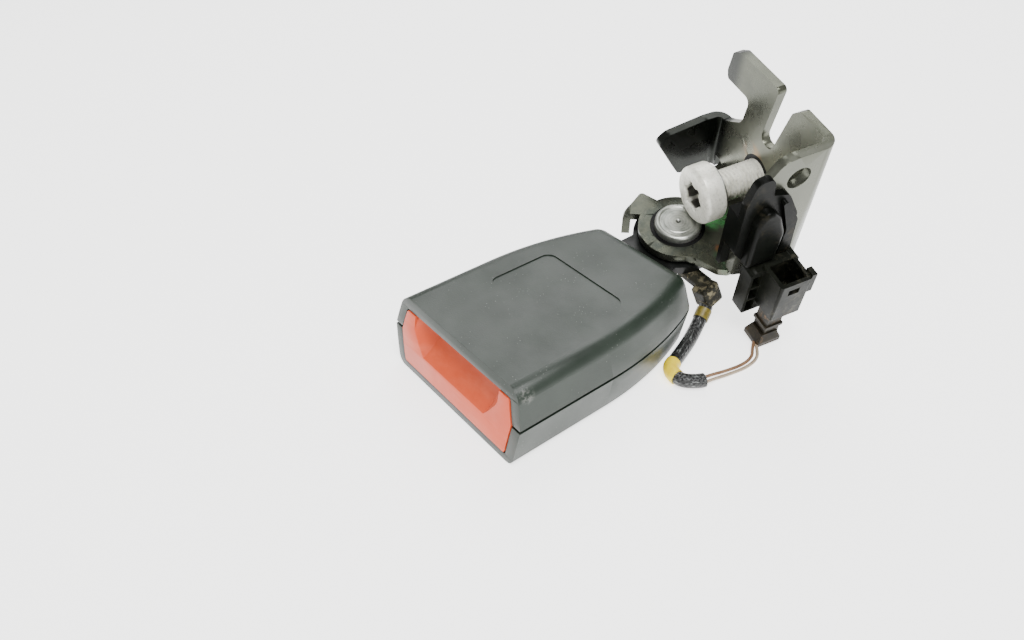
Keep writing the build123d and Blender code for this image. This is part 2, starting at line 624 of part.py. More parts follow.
# ---------------------------------------------------------------- switch lead
clip_body = Pos(16.8, rivet_y - 2.6, 10.6) * Rot(18, -14, 0) * Box(6.0, 6.6, 7.0)
clip_body = fillet(clip_body.edges(), 1.0)
clip_arm = stalk_frame * block(8.0, 18.0, -8.0, -3.0, stalk_bottom - 2.0, stalk_bottom)
parts["cable_clip"] = clip_body + clip_arm

sleeve_route = [
    (18.4, 78.7, 7.4), (20.4, 73.2, 3.9), (23.1, 66.6, 2.6), (25.4, 59.9, 2.45), (27.7, 53.0, 2.45),
    (32.8, 51.6, 2.45), (36.4, 55.2, 2.45), (37.2, 57.2, 2.45),
]


def cord(route, radius, name):
    """Round cord along straight runs that are joined by the largest arcs the runs allow."""
    radii = []
    for a, b, c in zip(route, route[1:], route[2:]):
        first = Vector(*b) - Vector(*a)
        second = Vector(*c) - Vector(*b)
        turn = math.radians(first.get_angle(second))
        radii.append(0.45 * min(first.length, second.length) / math.tan(turn / 2))
    path = FilletPolyline(*route, radius=radii)
    section = Plane(path @ 0, z_dir=path % 0) * Circle(radius)
    body = sweep(section, path=path, transition=Transition.ROUND)
    expected = math.pi * radius**2 * path.length
    print(f"{name}: length {path.length:.2f}, radii {[round(r, 2) for r in radii]}, "
          f"volume ratio {body.volume / expected:.4f}")
    return body, path


sleeve, sleeve_path = cord(sleeve_route, sleeve_radius, "cable_sleeve")
parts["cable_sleeve"] = sleeve
parts["cable_clip"] -= sleeve


def tape(start, end):
    """Turns of tape round the sleeve between two shares of its length."""
    path = sleeve_path.trim(start, end)
    ring = Circle(sleeve_radius + tape_thickness) - Circle(sleeve_radius)
    return sweep(Plane(path @ 0, z_dir=path % 0) * ring, path=path)


parts["tape_near"] = tape(0.035, 0.12)
parts["tape_far"] = tape(0.63, 0.8)

# Wires from the sleeve's end along the surface to the front of the plug's foot.
sleeve_end = sleeve_path @ 1
end_heading = sleeve_path % 1
foot_front = foot_y[0]
for name, side in (("wire_a", -1), ("wire_b", 1)):
    entry = bracket_frame * Pos(plug_x + side * 1.1, foot_front, foot_low + 0.95)
    lead = bracket_frame * Pos(plug_x + side * 1.1, foot_front - 4.6, foot_low + 0.95)
    across = Vector(0, 0, 1).cross(end_heading) * (-0.9 * side)
    start = sleeve_end + across
    second = start + end_heading * 3.2
    rest_z = wire_radius + 0.05
    near_third = second * 0.64 + lead.position * 0.36
    far_third = second * 0.3 + lead.position * 0.7
    route = [tuple(start), tuple(second), (near_third.X + side * 0.4 + 0.5, near_third.Y, rest_z),
             (far_third.X + side * 0.3 + 0.6, far_third.Y, rest_z), tuple(lead.position), tuple(entry.position)]
    wire, wire_path = cord(route, wire_radius, name)
    parts[name] = wire

cord_names = ("cable_sleeve", "tape_near", "tape_far", "wire_a", "wire_b")
bounds = [body.bounding_box() for name, body in parts.items() if name not in cord_names]
low = [min(tuple(b.min)[i] for b in bounds) for i in range(3)]
high = [max(tuple(b.max)[i] for b in bounds) for i in range(3)]
# The row's origin is the middle of the underside of everything but the lead.
origin = Vector((low[0] + high[0]) / 2, (low[1] + high[1]) / 2, low[2])

os.makedirs("parts", exist_ok=True)
for name, body in parts.items():
    parts[name] = Pos(*tuple(-origin)) * body
    export_step(parts[name], f"parts/{name}.step")
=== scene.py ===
import math
import bmesh
import bpy
from mathutils import Matrix, Vector


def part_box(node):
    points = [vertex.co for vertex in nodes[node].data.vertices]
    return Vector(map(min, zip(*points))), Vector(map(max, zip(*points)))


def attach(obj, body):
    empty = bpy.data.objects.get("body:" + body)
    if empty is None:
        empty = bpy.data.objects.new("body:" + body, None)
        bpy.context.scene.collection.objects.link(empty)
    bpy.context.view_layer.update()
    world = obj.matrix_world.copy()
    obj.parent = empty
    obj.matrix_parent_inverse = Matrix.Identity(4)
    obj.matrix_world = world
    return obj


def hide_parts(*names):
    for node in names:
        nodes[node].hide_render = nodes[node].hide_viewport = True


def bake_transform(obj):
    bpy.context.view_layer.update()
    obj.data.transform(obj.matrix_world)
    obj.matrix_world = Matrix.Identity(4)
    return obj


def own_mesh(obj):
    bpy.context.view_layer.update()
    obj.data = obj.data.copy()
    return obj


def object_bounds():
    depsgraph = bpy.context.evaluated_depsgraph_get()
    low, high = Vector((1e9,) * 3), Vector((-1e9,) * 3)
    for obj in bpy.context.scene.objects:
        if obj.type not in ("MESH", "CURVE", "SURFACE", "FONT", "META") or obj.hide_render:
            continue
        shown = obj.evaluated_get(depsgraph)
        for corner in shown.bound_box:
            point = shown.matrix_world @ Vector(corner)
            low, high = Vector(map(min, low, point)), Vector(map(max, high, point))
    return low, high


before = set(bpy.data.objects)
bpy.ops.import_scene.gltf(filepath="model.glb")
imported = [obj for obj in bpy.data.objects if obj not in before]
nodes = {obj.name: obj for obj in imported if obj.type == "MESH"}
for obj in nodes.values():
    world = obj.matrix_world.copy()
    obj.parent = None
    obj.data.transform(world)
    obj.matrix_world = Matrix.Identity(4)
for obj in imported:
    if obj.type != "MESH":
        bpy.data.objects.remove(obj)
cad_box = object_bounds()

# ------------------------------------------------------------ where things are
MM = 0.001                      # metres
CHANNEL_FRONT = 16.0            # mm, from the button's top edge back to the steel channel
SWIVEL_SPOT = (0, 82.8, 27.2)   # middle of the stalk's eye, on the head's axes
STALK_PITCH, STALK_ROLL = 13, 12        # degrees, how the stalk's eye leans
BRACKET_TURN = -18              # degrees, how far the bracket stands turned on the stalk
BOLT_FACE = (0, 3.4, 9.6)       # middle of the bolt head's face, on the bracket's axes

# The head's own axes: X 0 is its centreline, Y 0 the button's top edge, Z 0 the surface below.
channel_low, channel_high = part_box("buckle_frame")
head_start = Vector(((channel_low[0] + channel_high[0]) / 2, channel_low[1] - CHANNEL_FRONT * MM,
                     cad_box[0][2]))


def head(x, y, z):
    """A point given in the head's millimetres."""
    return head_start + Vector((x, y, z)) * MM


def turn(degrees, axis):
    """Rotation about X, Y or Z."""
    return Matrix.Rotation(math.radians(degrees), 4, axis)


swivel = Matrix.Translation(head(*SWIVEL_SPOT)) @ turn(STALK_PITCH, "X") @ turn(STALK_ROLL, "Y")
anchor = swivel @ turn(BRACKET_TURN, "Z")

# These take millimetres on the head's, the stalk's and the bracket's axes to the world.
SCALE_MM = Matrix.Scale(MM, 4)
HEAD = Matrix.Translation(head_start) @ SCALE_MM
STALK = swivel @ SCALE_MM
BRACKET = anchor @ SCALE_MM


def on_bracket(x, y, z):
    """A point given in the bracket's millimetres."""
    return tuple(anchor @ (Vector((x, y, z)) * MM))


def bracket_way(x, y, z):
    """A direction given on the bracket's axes."""
    return anchor.to_3x3() @ Vector((x, y, z))


def along_y(x, y, z):
    """Puts a piece made up the Z axis along Y, in the bracket's millimetres."""
    return BRACKET @ Matrix.Translation((x, y, z)) @ turn(-90, "X")


def show(thing):
    """Brings a new object into the scene."""
    bpy.context.scene.collection.objects.link(thing)
    return thing


# ------------------------------------------------------------ camera
def set_camera():
    """Stands the camera above the head's front right corner."""
    azimuth, elevation, roll = (math.radians(a) for a in (52.007, 38.542, -0.578))
    spot = (135.622, -88.508, 158.148)
    image_width = 1024
    focal_pixels = 804.025
    ahead = Vector((-math.sin(azimuth) * math.cos(elevation), math.cos(azimuth) * math.cos(elevation),
                    -math.sin(elevation)))
    across = Vector((math.cos(azimuth), math.sin(azimuth), 0))
    above = across.cross(ahead)
    right = across * math.cos(roll) + above * math.sin(roll)
    up = above * math.cos(roll) - across * math.sin(roll)
    data = bpy.data.cameras.new("camera")
    data.sensor_width = 36
    data.lens = 36 * focal_pixels / image_width
    data.clip_start = 0.01
    data.clip_end = 20
    camera = show(bpy.data.objects.new("camera", data))
    place = Matrix((right, up, -ahead)).transposed().to_4x4()
    place.translation = head(*spot)
    camera.matrix_world = place
    bpy.context.scene.camera = camera


set_camera()


# ------------------------------------------------------------ parts of a finish
def new_finish(name):
    """An empty node material: itself, its node tree, its shader and the object's own coordinates."""
    material = bpy.data.materials.new(name)
    material.use_nodes = True
    tree = material.node_tree
    shader = tree.nodes["Principled BSDF"]
    place = tree.nodes.new("ShaderNodeTexCoord")
    return material, tree, shader, place.outputs["Object"]


def mapped(tree, place, scale, rotation=(0, 0, 0)):
    """Coordinates stretched and turned, for marks that run one way."""
    node = tree.nodes.new("ShaderNodeMapping")
    node.inputs["Scale"].default_value = scale
    node.inputs["Rotation"].default_value = rotation
    tree.links.new(place, node.inputs["Vector"])
    return node.outputs["Vector"]


def noise(tree, place, scale, detail=3, roughness=0.6):
    """Cloudy noise from 0 to 1, with its scale in patches a metre."""
    node = tree.nodes.new("ShaderNodeTexNoise")
    node.inputs["Scale"].default_value = scale
    node.inputs["Detail"].default_value = detail
    node.inputs["Roughness"].default_value = roughness
    tree.links.new(place, node.inputs["Vector"])
    return node.outputs["Fac"]


def steps(tree, value, *stops):
    """A ramp through (place, brightness) stops, in rising order of place."""
    node = tree.nodes.new("ShaderNodeValToRGB")
    ramp = node.color_ramp
    while len(ramp.elements) < len(stops):
        ramp.elements.new(0.5)
    for element, (spot, level) in zip(ramp.elements, stops):
        element.position = spot
        element.color = (level, level, level, 1)
    tree.links.new(value, node.inputs["Fac"])
    return node.outputs["Color"]


def patches(tree, place, scale, detail, low, high, roughness=0.6):
    """Soft-edged patches: 0 where the noise is below low, 1 where it is above high."""
    return steps(tree, noise(tree, place, scale, detail, roughness), (low, 0), (high, 1))


def specks(tree, place, scale, size):
    """1 in small round spots, 0 between them."""
    cells = tree.nodes.new("ShaderNodeTexVoronoi")
    cells.inputs["Scale"].default_value = scale
    tree.links.new(place, cells.inputs["Vector"])
    return steps(tree, cells.outputs["Distance"], (size * 0.6, 1), (size, 0))


def maths(tree, kind, a, b):
    """One sum on two values or sockets."""
    node = tree.nodes.new("ShaderNodeMath")
    node.operation = kind
    for value, socket in ((a, node.inputs[0]), (b, node.inputs[1])):
        if isinstance(value, (int, float)):
            socket.default_value = value
        else:
            tree.links.new(value, socket)
    return node.outputs[0]


def product(tree, first, *others):
    """All the values multiplied together."""
    for other in others:
        first = maths(tree, "MULTIPLY", first, other)
    return first


def add(tree, a, b, share):
    """The first value and a share of the second."""
    return maths(tree, "ADD", a, maths(tree, "MULTIPLY", b, share))


def between(tree, share, first, second):
    """Colour that goes from first to second as share goes from 0 to 1."""
    node = tree.nodes.new("ShaderNodeMix")
    node.data_type = "RGBA"
    tree.links.new(share, node.inputs["Factor"])
    for value, socket in ((first, node.inputs["A"]), (second, node.inputs["B"])):
        if isinstance(value, tuple):
            socket.default_value = (*value, 1)
        else:
            tree.links.new(value, socket)
    return node.outputs["Result"]


def away(tree, place, centre):
    """Millimetres from a point."""
    offset = tree.nodes.new("ShaderNodeVectorMath")
    offset.operation = "DISTANCE"
    offset.inputs[1].default_value = centre
    tree.links.new(place, offset.inputs[0])
    return maths(tree, "MULTIPLY", offset.outputs["Value"], 1 / MM)


def ruler(tree, place, start, direction):
    """Millimetres along a direction from a point."""
    offset = tree.nodes.new("ShaderNodeVectorMath")
    offset.operation = "SUBTRACT"
    offset.inputs[1].default_value = start
    tree.links.new(place, offset.inputs[0])
    along = tree.nodes.new("ShaderNodeVectorMath")
    along.operation = "DOT_PRODUCT"
    along.inputs[1].default_value = tuple(Vector(direction) / MM)
    tree.links.new(offset.outputs["Vector"], along.inputs[0])
    return along.outputs["Value"]


def fade(tree, value, start, end):
    """0 at start and 1 at end, whichever of them is the larger."""
    node = tree.nodes.new("ShaderNodeMapRange")
    node.interpolation_type = "SMOOTHSTEP"
    node.inputs["From Min"].default_value = min(start, end)
    node.inputs["From Max"].default_value = max(start, end)
    node.inputs["To Min"].default_value = 0.0 if start < end else 1.0
    node.inputs["To Max"].default_value = 1.0 if start < end else 0.0
    tree.links.new(value, node.inputs["Value"])
    return node.outputs["Result"]


def near(tree, place, centre, reach):
    """1 within reach of a point in millimetres, fading to 0 at twice that."""
    return fade(tree, away(tree, place, centre), reach * 2, reach)


def relief(tree, shader, height, depth, strength=0.4):
    """Bump of the given depth in millimetres."""
    node = tree.nodes.new("ShaderNodeBump")
    node.inputs["Strength"].default_value = strength
    node.inputs["Distance"].default_value = depth * MM
    tree.links.new(height, node.inputs["Height"])
    tree.links.new(node.outputs["Normal"], shader.inputs["Normal"])


def sheen(tree, shader, place, scale, roughness, detail=3):
    """Roughness that drifts over the surface from one value to another."""
    smooth, rough = roughness
    drift = steps(tree, noise(tree, place, scale, detail), (0.3, smooth), (0.7, rough))
    tree.links.new(drift, shader.inputs["Roughness"])


# ------------------------------------------------------------ finishes
def cover_plastic():
    """Dark grey moulded plastic, fine grained, with scuffs, dust and a worn front corner."""
    material, tree, shader, place = new_finish("cover_plastic")
    mottle = patches(tree, place, 90, 4, 0.3, 0.7)
    colour = between(tree, mottle, (0.008, 0.015, 0.009), (0.014, 0.023, 0.015))
    scuffs = mapped(tree, place, (60, 900, 300), (0, 0, 0.6))
    lines = patches(tree, scuffs, 1.0, 5, 0.66, 0.74, 0.7)
    scuffed = patches(tree, place, 35, 3, 0.5, 0.68)
    colour = between(tree, product(tree, lines, scuffed, 0.25), colour, (0.07, 0.08, 0.07))
    dust = specks(tree, place, 850, 0.16)
    dusty = patches(tree, place, 120, 2, 0.5, 0.6)
    colour = between(tree, product(tree, dust, dusty, 0.4), colour, (0.20, 0.21, 0.19))
    worn = near(tree, place, tuple(head(24.9, 1.6, 21.0)), 1.5)
    chips = patches(tree, place, 900, 4, 0.45, 0.6, 0.7)
    colour = between(tree, product(tree, worn, chips, 0.45), colour, (0.22, 0.22, 0.20))
    tree.links.new(colour, shader.inputs["Base Color"])
    sheen(tree, shader, place, 60, (0.36, 0.48))
    grain = noise(tree, place, 2600, 2, 0.5)
    relief(tree, shader, add(tree, grain, lines, -0.4), 0.05, 0.5)
    return material


def button_plastic():
    """Coral red moulded plastic, rubbed paler where a thumb presses."""
    material, tree, shader, place = new_finish("button_plastic")
    shader.inputs["Specular IOR Level"].default_value = 0.25
    mottle = patches(tree, place, 110, 4, 0.3, 0.7)
    colour = between(tree, mottle, (0.56, 0.070, 0.022), (0.64, 0.092, 0.034))
    rub = mapped(tree, place, (80, 60, 260), (0, 0.2, 0))
    smears = patches(tree, rub, 1.0, 4, 0.5, 0.75)
    colour = between(tree, product(tree, smears, 0.3), colour, (0.74, 0.19, 0.10))
    tree.links.new(colour, shader.inputs["Base Color"])
    sheen(tree, shader, place, 80, (0.34, 0.48))
    relief(tree, shader, noise(tree, place, 2200, 2, 0.5), 0.03)
    return material


def bracket_steel():
    """Dark coated steel of the bracket with brown and green marks, and painted light: a painted reflection
    in streaks on the near flange's outer face, painted shade on the far wing, and the upright lighter low
    down than above.
    """
    material, tree, shader, place = new_finish("bracket_steel")
    shader.inputs["Metallic"].default_value = 0.75
    cloud = patches(tree, place, 55, 5, 0.32, 0.7, 0.65)
    colour = between(tree, cloud, (0.060, 0.064, 0.047), (0.095, 0.100, 0.074))
    across, back, up = (ruler(tree, place, on_bracket(0, 0, 0), bracket_way(*axis))
                        for axis in ((1, 0, 0), (0, 1, 0), (0, 0, 1)))
    # painted shade: the upright is painted lighter low down and darker towards its top, as the light falls
    # on it
    upright_lit_low = product(tree, fade(tree, up, 34, 18), fade(tree, back, 18, 24))
    colour = between(tree, product(tree, upright_lit_low, 0.7), colour, (0.17, 0.175, 0.135))
    # painted shade: the far wing is painted nearly black because it stands in shadow
    far_wing_shade = fade(tree, across, -15, -20)
    colour = between(tree, far_wing_shade, colour, (0.010, 0.012, 0.009))
    # painted reflection: the near flange's outer face is painted lighter in streaks, as it mirrors the
    # bright floor
    reflection_streaks = steps(tree, noise(tree, mapped(tree, place, (60, 60, 25)), 1.0, 4), (0.3, 0.7), (0.6, 1))
    flange_floor_reflection = product(tree, fade(tree, across, 22.2, 23.4), reflection_streaks)
    colour = between(tree, flange_floor_reflection, colour, (0.10, 0.104, 0.082))
    blotchy = patches(tree, place, 260, 4, 0.4, 0.62)
    marks = [                   # place, reach, share and colour
        ((0, -4.0, -2.1), 9.5, 0.75, (0.030, 0.037, 0.031)),    # darker patch in front of the rivet
        ((-3.4, 25.0, 13.8), 3.0, 0.6, (0.30, 0.16, 0.06)),     # rust above the bolt's hole
        ((14.2, 8.8, -2.1), 2.0, 0.8, (0.30, 0.10, 0.03)),      # rust on the floor
        ((1.6, 12.2, -2.1), 3.4, 0.8, (0.08, 0.36, 0.10)),      # green on the floor
        ((17.8, 8.3, -2.1), 3.0, 0.6, (0.05, 0.24, 0.09)),      # green beside the rust
    ]
    for spot, reach, share, stain in marks:
        blot = near(tree, place, on_bracket(*spot), reach)
        colour = between(tree, product(tree, blot, blotchy, share), colour, stain)
    tree.links.new(colour, shader.inputs["Base Color"])
    sheen(tree, shader, place, 140, (0.22, 0.36), 4)
    scratches = mapped(tree, place, (900, 90, 90), (0.3, 0.2, 0.9))
    surface = add(tree, noise(tree, place, 1500, 3), noise(tree, scratches, 1.0, 3), 0.6)
    relief(tree, shader, surface, 0.025)
    return material


def turned_steel(name, centre, spacing, dark, light, roughness):
    """Bright steel with fine rings round a centre, as a lathe leaves; spacing in millimetres."""
    material, tree, shader, place = new_finish(name)
    shader.inputs["Metallic"].default_value = 0.75
    wobble = add(tree, away(tree, place, centre), noise(tree, place, 300, 2), 0.25)
    wave = maths(tree, "SINE", product(tree, wobble, 2 * math.pi / spacing), 0)
    rings = steps(tree, wave, (0, 0), (1, 1))
    cloud = patches(tree, place, 260, 4, 0.32, 0.7, 0.65)
    colour = between(tree, product(tree, add(tree, cloud, rings, 0.25), 0.8), dark, light)
    colour = between(tree, near(tree, place, centre, 0.5), colour, (0.04, 0.04, 0.035))
    tree.links.new(colour, shader.inputs["Base Color"])
    sheen(tree, shader, place, 200, roughness)
    relief(tree, shader, add(tree, rings, noise(tree, place, 900, 3), 2.0), 0.02)
    return material


def bolt_steel():
    """Dull pale zinc; the socket is painted nearly black as shade, and brown painted shade runs along the
    underside of the thread.
    """
    socket_radius = 4.9
    shank_start = 6.2           # mm behind the head's face
    material, tree, shader, place = new_finish("bolt_steel")
    shader.inputs["Metallic"].default_value = 0.25
    cloud = patches(tree, place, 240, 5, 0.32, 0.7, 0.65)
    colour = between(tree, cloud, (0.66, 0.65, 0.56), (0.92, 0.91, 0.82))
    pits = patches(tree, place, 1100, 4, 0.52, 0.64, 0.7)
    colour = between(tree, product(tree, pits, 0.45), colour, (0.36, 0.35, 0.28))
    depth = ruler(tree, place, on_bracket(*BOLT_FACE), bracket_way(0, 1, 0))
    below = ruler(tree, place, on_bracket(*BOLT_FACE), bracket_way(0.3, 0, -1))
    # painted shade: the hollow of the socket is painted nearly black
    in_socket = on_bracket(BOLT_FACE[0], BOLT_FACE[1] + 2.6, BOLT_FACE[2])
    core = fade(tree, away(tree, place, in_socket), socket_radius, socket_radius - 0.5)
    socket = product(tree, fade(tree, depth, 0.2, 1.0), core)
    colour = between(tree, socket, colour, (0.05, 0.048, 0.038))
    # painted shade: the underside of the threaded shank is painted darker, in brown patches
    shade_patches = steps(tree, noise(tree, place, 330, 4), (0.35, 0.2), (0.6, 1))
    on_shank = fade(tree, depth, shank_start, shank_start + 1.3)
    underside_shade = product(tree, fade(tree, below, -0.5, 3.0), on_shank, shade_patches)
    colour = between(tree, underside_shade, colour, (0.10, 0.095, 0.06))
    tree.links.new(colour, shader.inputs["Base Color"])
    sheen(tree, shader, place, 400, (0.34, 0.5))
    relief(tree, shader, noise(tree, place, 1400, 3), 0.05)
    return material


def dirty_plastic(name, dark, light, dirt, share, roughness, gloss):
    """Black moulded plastic with dry dirt in patches."""
    material, tree, shader, place = new_finish(name)
    shader.inputs["Specular IOR Level"].default_value = gloss
    cloud = patches(tree, place, 180, 5, 0.32, 0.7, 0.65)
    colour = between(tree, cloud, dark, light)
    grime = patches(tree, place, 420, 5, 0.5, 0.62, 0.7)
    grimy = patches(tree, place, 70, 2, 0.45, 0.62)
    colour = between(tree, product(tree, grime, grimy, share), colour, dirt)
    tree.links.new(colour, shader.inputs["Base Color"])
    sheen(tree, shader, place, 250, roughness)
    relief(tree, shader, noise(tree, place, 1500, 3), 0.03)
    return material


def plain_finish(name, dark, light, roughness, metallic=0.0, grain=1200, depth=0.02, patchiness=90,
                 gloss=0.5):
    """A finish that varies between two colours, with a fine grain."""
    material, tree, shader, place = new_finish(name)
    shader.inputs["Metallic"].default_value = metallic
    shader.inputs["Specular IOR Level"].default_value = gloss
    cloud = patches(tree, place, patchiness, 5, 0.32, 0.7, 0.65)
    tree.links.new(between(tree, cloud, dark, light), shader.inputs["Base Color"])
    sheen(tree, shader, place, patchiness * 1.7, roughness)
    relief(tree, shader, noise(tree, place, grain, 3), depth)
    return material


def woven(name):
    """Braid: two sets of dark yarns that cross at a slant, with grey flecks."""
    crossings_along, crossings_around = 26, 8
    material, tree, shader, place = new_finish(name)
    lay = tree.nodes.new("ShaderNodeTexCoord").outputs["UV"]
    split = tree.nodes.new("ShaderNodeSeparateXYZ")
    tree.links.new(lay, split.inputs["Vector"])
    along = product(tree, split.outputs["X"], 2 * math.pi * crossings_along)
    around = product(tree, split.outputs["Y"], 2 * math.pi * crossings_around)
    one = maths(tree, "SINE", maths(tree, "ADD", along, around), 0)
    two = maths(tree, "SINE", maths(tree, "SUBTRACT", along, around), 0)
    yarns = maths(tree, "MAXIMUM", one, two)
    # painted shade: the gaps between the yarns are painted darker and their crests lighter
    lit_yarn_tops = steps(tree, yarns, (0.2, 0), (0.9, 1))
    flecks = patches(tree, mapped(tree, lay, (13, 30, 1)), 1.0, 3, 0.56, 0.66)
    colour = between(tree, lit_yarn_tops, (0.004, 0.004, 0.004), (0.018, 0.019, 0.018))
    colour = between(tree, product(tree, flecks, 0.55), colour, (0.34, 0.36, 0.35))
    tree.links.new(colour, shader.inputs["Base Color"])
    shader.inputs["Roughness"].default_value = 0.36
    relief(tree, shader, yarns, 0.10, 0.6)
    return material


cover = cover_plastic()
red = button_plastic()
bracket_coat = bracket_steel()
black_steel = plain_finish("black_steel", (0.003, 0.0035, 0.003), (0.008, 0.009, 0.008), (0.30, 0.42),
                           gloss=0.25)
bright_zinc = plain_finish("plated_steel", (0.30, 0.30, 0.28), (0.46, 0.46, 0.43), (0.26, 0.42),
                           metallic=1.0, grain=1600, patchiness=160)
spring_steel = plain_finish("spring_steel", (0.25, 0.25, 0.25), (0.35, 0.35, 0.35), (0.25, 0.35),
                            metallic=1.0)
rivet_steel = turned_steel("rivet_steel", tuple(swivel @ Vector((0, 0, 0.3 * MM))), 0.9,
                           (0.17, 0.18, 0.16), (0.46, 0.47, 0.43), (0.28, 0.42))
bolt_zinc = bolt_steel()
black_plastic = plain_finish("black_plastic", (0.002, 0.002, 0.002), (0.006, 0.006, 0.006), (0.38, 0.5),
                             gloss=0.12)
holder_black = dirty_plastic("holder_plastic", (0.0012, 0.0015, 0.0012), (0.0035, 0.004, 0.003),
                             (0.06, 0.05, 0.03), 0.35, (0.28, 0.4), 0.05)
connector_black = dirty_plastic("connector_plastic", (0.0025, 0.003, 0.002), (0.008, 0.009, 0.006),
                                (0.07, 0.065, 0.045), 0.5, (0.3, 0.45), 0.10)
plug_black = dirty_plastic("plug_plastic", (0.008, 0.007, 0.005), (0.030, 0.024, 0.015),
                           (0.26, 0.15, 0.07), 0.9, (0.35, 0.55), 0.10)
brass = plain_finish("contact_brass", (0.42, 0.30, 0.14), (0.52, 0.42, 0.24), (0.25, 0.35), metallic=1.0)
beige = dirty_plastic("clip_plastic", (0.006, 0.006, 0.004), (0.030, 0.029, 0.020), (0.24, 0.21, 0.13),
                      0.85, (0.4, 0.6), 0.12)
tape_dull = plain_finish("yellow_tape", (0.10, 0.075, 0.008), (0.24, 0.19, 0.025), (0.35, 0.5),
                         grain=700, depth=0.1, patchiness=500)
tape_clean = plain_finish("clean_tape", (0.80, 0.56, 0.01), (0.95, 0.76, 0.03), (0.35, 0.5),
                          grain=700, depth=0.1, patchiness=500)
wire_brown = plain_finish("wire_skin", (0.16, 0.085, 0.045), (0.27, 0.16, 0.09), (0.35, 0.5),
                          grain=700, depth=0.05, patchiness=300)
wire_beige = plain_finish("wire_skin_light", (0.27, 0.20, 0.14), (0.40, 0.32, 0.23), (0.35, 0.5),
                          grain=700, depth=0.05, patchiness=300)
braid = woven("braid")

WORN_BY = (
    (cover, ("upper_cover", "lower_cover")),
    (red, ("release_button",)),
    (bracket_coat, ("anchor_bracket",)),
    (black_steel, ("stalk_plate",)),
    (bright_zinc, ("buckle_frame", "latch_pin", "latch_bar", "frame_rivets", "bolt_washer")),
    (rivet_steel, ("swivel_rivet",)),
    (bolt_zinc, ("anchor_bolt",)),
    (spring_steel, ("ejector_spring", "latch_spring", "button_springs", "swivel_washer")),
    (black_plastic, ("ejector", "buckle_switch", "swivel_bush", "bolt_retainer")),
    (holder_black, ("connector_holder",)),
    (connector_black, ("connector_socket",)),
    (plug_black, ("connector_plug",)),
    (brass, ("socket_pins",)),
    (beige, ("cable_clip",)),
    (tape_dull, ("tape_near",)),
    (tape_clean, ("tape_far",)),
)
for finish, names in WORN_BY:
    for name in names:
        nodes[name].data.materials.clear()
        nodes[name].data.materials.append(finish)


# ------------------------------------------------------------ switch lead
SLEEVE_DIAMETER = 4.2           # mm
WIRE_DIAMETER = 1.0             # mm
SLEEVE = [(18.4, 78.7, 7.4), (20.4, 73.2, 3.9), (23.1, 66.6, 2.6), (25.4, 59.9, 2.45), (27.7, 53.0, 2.45),
          (32.8, 51.6, 2.45), (36.4, 55.2, 2.45), (37.2, 57.2, 2.45)]
WIRES = (
    ("wire_a", wire_brown, "wire_skin",
     [(36.3, 57.4, 2.4), (36.2, 60.6, 1.6), (37.3, 66.5, 0.6), (38.7, 72.8, 0.55), (38.3, 77.6, 0.7),
      (35.9, 80.6, 1.15), (34.6, 82.7, 1.5)]),
    ("wire_b", wire_beige, "wire_skin_light",
     [(38.0, 57.0, 2.4), (37.9, 60.4, 1.4), (38.9, 66.6, 0.55), (40.2, 73.0, 0.55), (39.6, 78.4, 0.6),
      (37.2, 81.3, 0.9), (35.7, 82.5, 1.2)]),
)


def keep(mesh, name, finish, smooth_under=40):
    """Turns a mesh in hand into a finished piece, smooth where it bends by less than so many degrees."""
    data = bpy.data.meshes.new(name)
    for face in mesh.faces:
        face.smooth = True
    for edge in mesh.edges:
        edge.smooth = not edge.is_manifold or edge.calc_face_angle(0) < math.radians(smooth_under)
    mesh.to_mesh(data)
    mesh.free()
    data.materials.append(finish)
    piece = show(bpy.data.objects.new(name, data))
    return piece


def join(mesh, other):
    """Adds a second mesh in hand to the first, and lets the second go."""
    data = bpy.data.meshes.new("joined")
    other.to_mesh(data)
    other.free()
    mesh.from_mesh(data)
    bpy.data.meshes.remove(data)


def centreline(name, route):
    """The smooth line that a cord follows, from points in the head's millimetres."""
    curve = bpy.data.curves.new(name, "CURVE")
    curve.dimensions = "3D"
    curve.resolution_u = 24
    spline = curve.splines.new("NURBS")
    spline.points.add(len(route) - 1)
    for point, spot in zip(spline.points, route):
        point.co = (*head(*spot), 1)
    spline.order_u = 3
    spline.use_endpoint_u = True
    return curve


def lay_cord(name, route, diameter, finish, body):
    """A round cord along its route."""
    curve = centreline(name, route)
    curve.bevel_depth = diameter / 2
    curve.bevel_resolution = 6
    curve.use_fill_caps = True
    curve.materials.append(finish)
    cord = show(bpy.data.objects.new(name, curve))
    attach(cord, body)
    return cord


def line_points(route):
    """Points in metres along the line that a cord follows."""
    path = bpy.data.objects.new("measure", centreline("measure", route))
    mesh = bpy.data.meshes.new_from_object(path)
    spots = [v.co.copy() for v in mesh.vertices]
    bpy.data.objects.remove(path)
    return spots


def line_length(route):
    """Length in metres of the line that a cord follows."""
    spots = line_points(route)
    return sum((b - a).length for a, b in zip(spots, spots[1:]))


def bend_tube(name, route, diameter, finish):
    """A round wire along a bent line: a ring at each point of its line, bridged to the next."""
    spots = line_points(route)
    last = len(spots) - 1
    mesh = bmesh.new()
    before = None
    for i, spot in enumerate(spots):
        heading = (spots[min(i + 1, last)] - spots[max(i - 1, 0)]).normalized()
        place = heading.to_track_quat("Z", "Y").to_matrix().to_4x4()
        place.translation = spot
        ring = bmesh.ops.create_circle(mesh, cap_ends=i in (0, last), segments=12, radius=diameter / 2,
                                       matrix=place)["verts"]
        edges = [e for e in mesh.edges if e.verts[0] in ring and e.verts[1] in ring]
        if before:
            bmesh.ops.bridge_loops(mesh, edges=before + edges)
        before = edges
    bmesh.ops.recalc_face_normals(mesh, faces=mesh.faces)
    wire = keep(mesh, name, finish)
    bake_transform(wire)
    return wire


